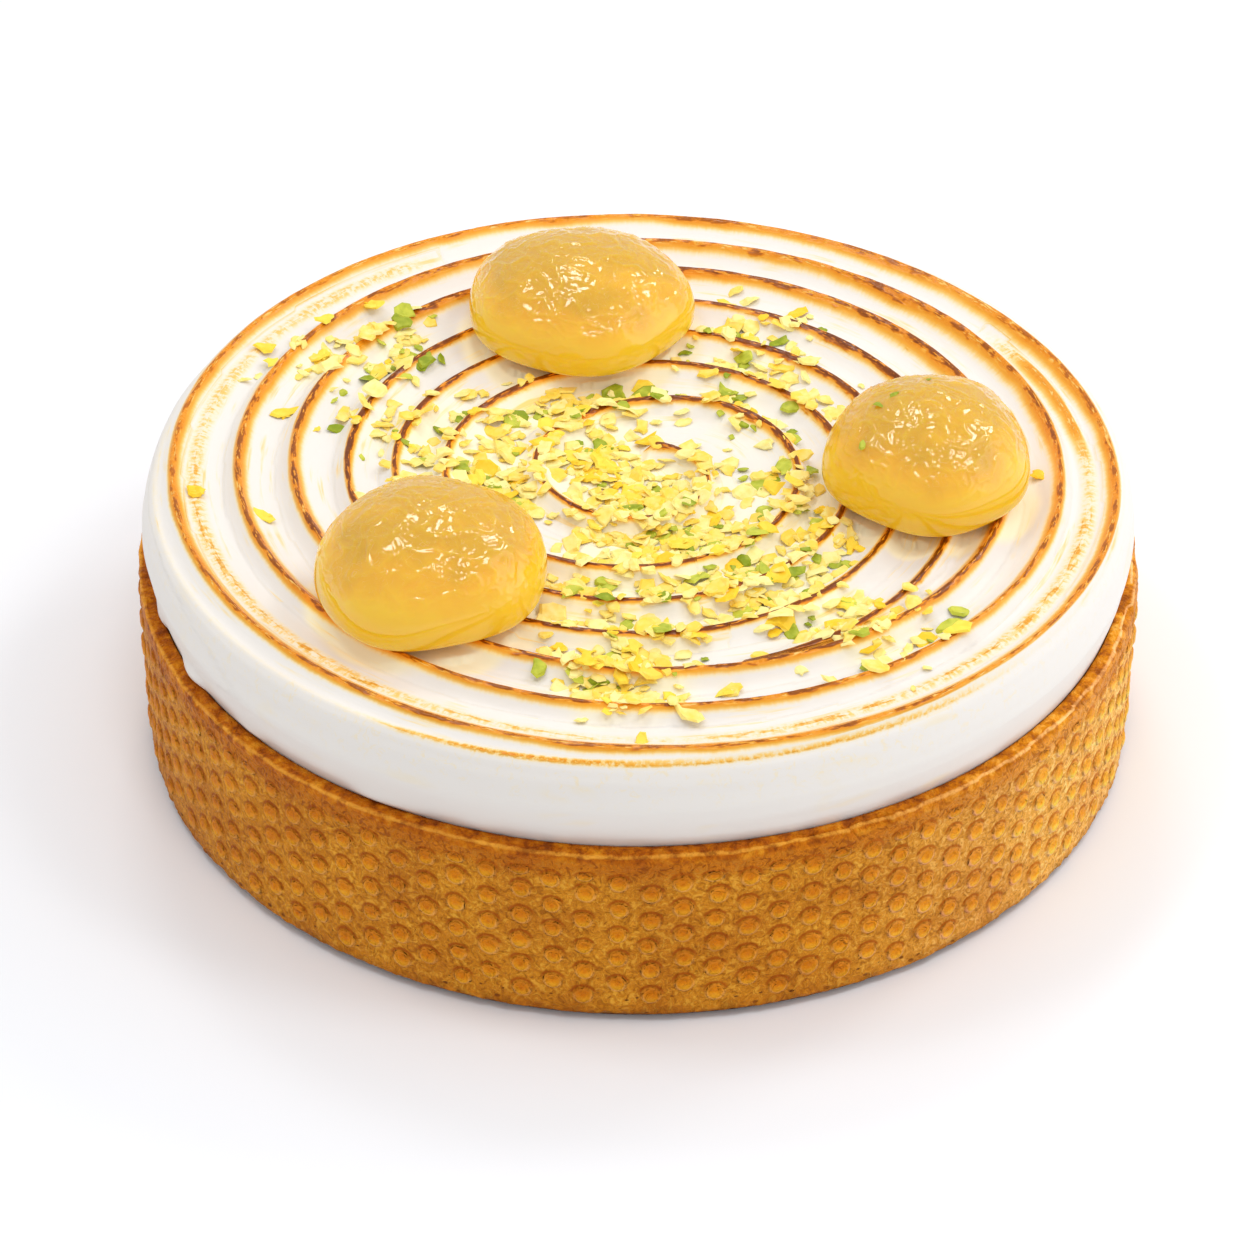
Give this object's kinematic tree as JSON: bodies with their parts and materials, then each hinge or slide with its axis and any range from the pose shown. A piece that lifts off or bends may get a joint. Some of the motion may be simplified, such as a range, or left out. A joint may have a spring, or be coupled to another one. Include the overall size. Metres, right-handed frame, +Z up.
{
  "type": "lemon meringue pie",
  "caption": "Round uncut lemon meringue pie: studded shortcrust shell, spiral meringue disc torched along its ridges, citrus zest and round domes of lemon jelly.",
  "frame": {"origin": "centre of the flat underside of the shell", "axes": "+Z up through the middle of the pie; seen from -Y the front-left jelly dome is nearest"},
  "size_m": [0.1008, 0.1008, 0.0397],
  "materials": {
    "crust": "golden-brown baked shortcrust, slightly waxy, with paler stud edges and a darker rim",
    "meringue": "soft white whipped meringue, ridges torched orange to dark brown",
    "gel": "cloudy amber lemon jelly with a wet, finely wrinkled skin",
    "zest_yellow": "moist grated lemon zest",
    "zest_green": "moist grated lime zest"
  },
  "bodies": {
    "root": {"crust": "crust", "meringue": "meringue", "gel_dome_front": "gel", "gel_dome_back": "gel", "gel_dome_right": "gel"}
  },
  "joints": []
}
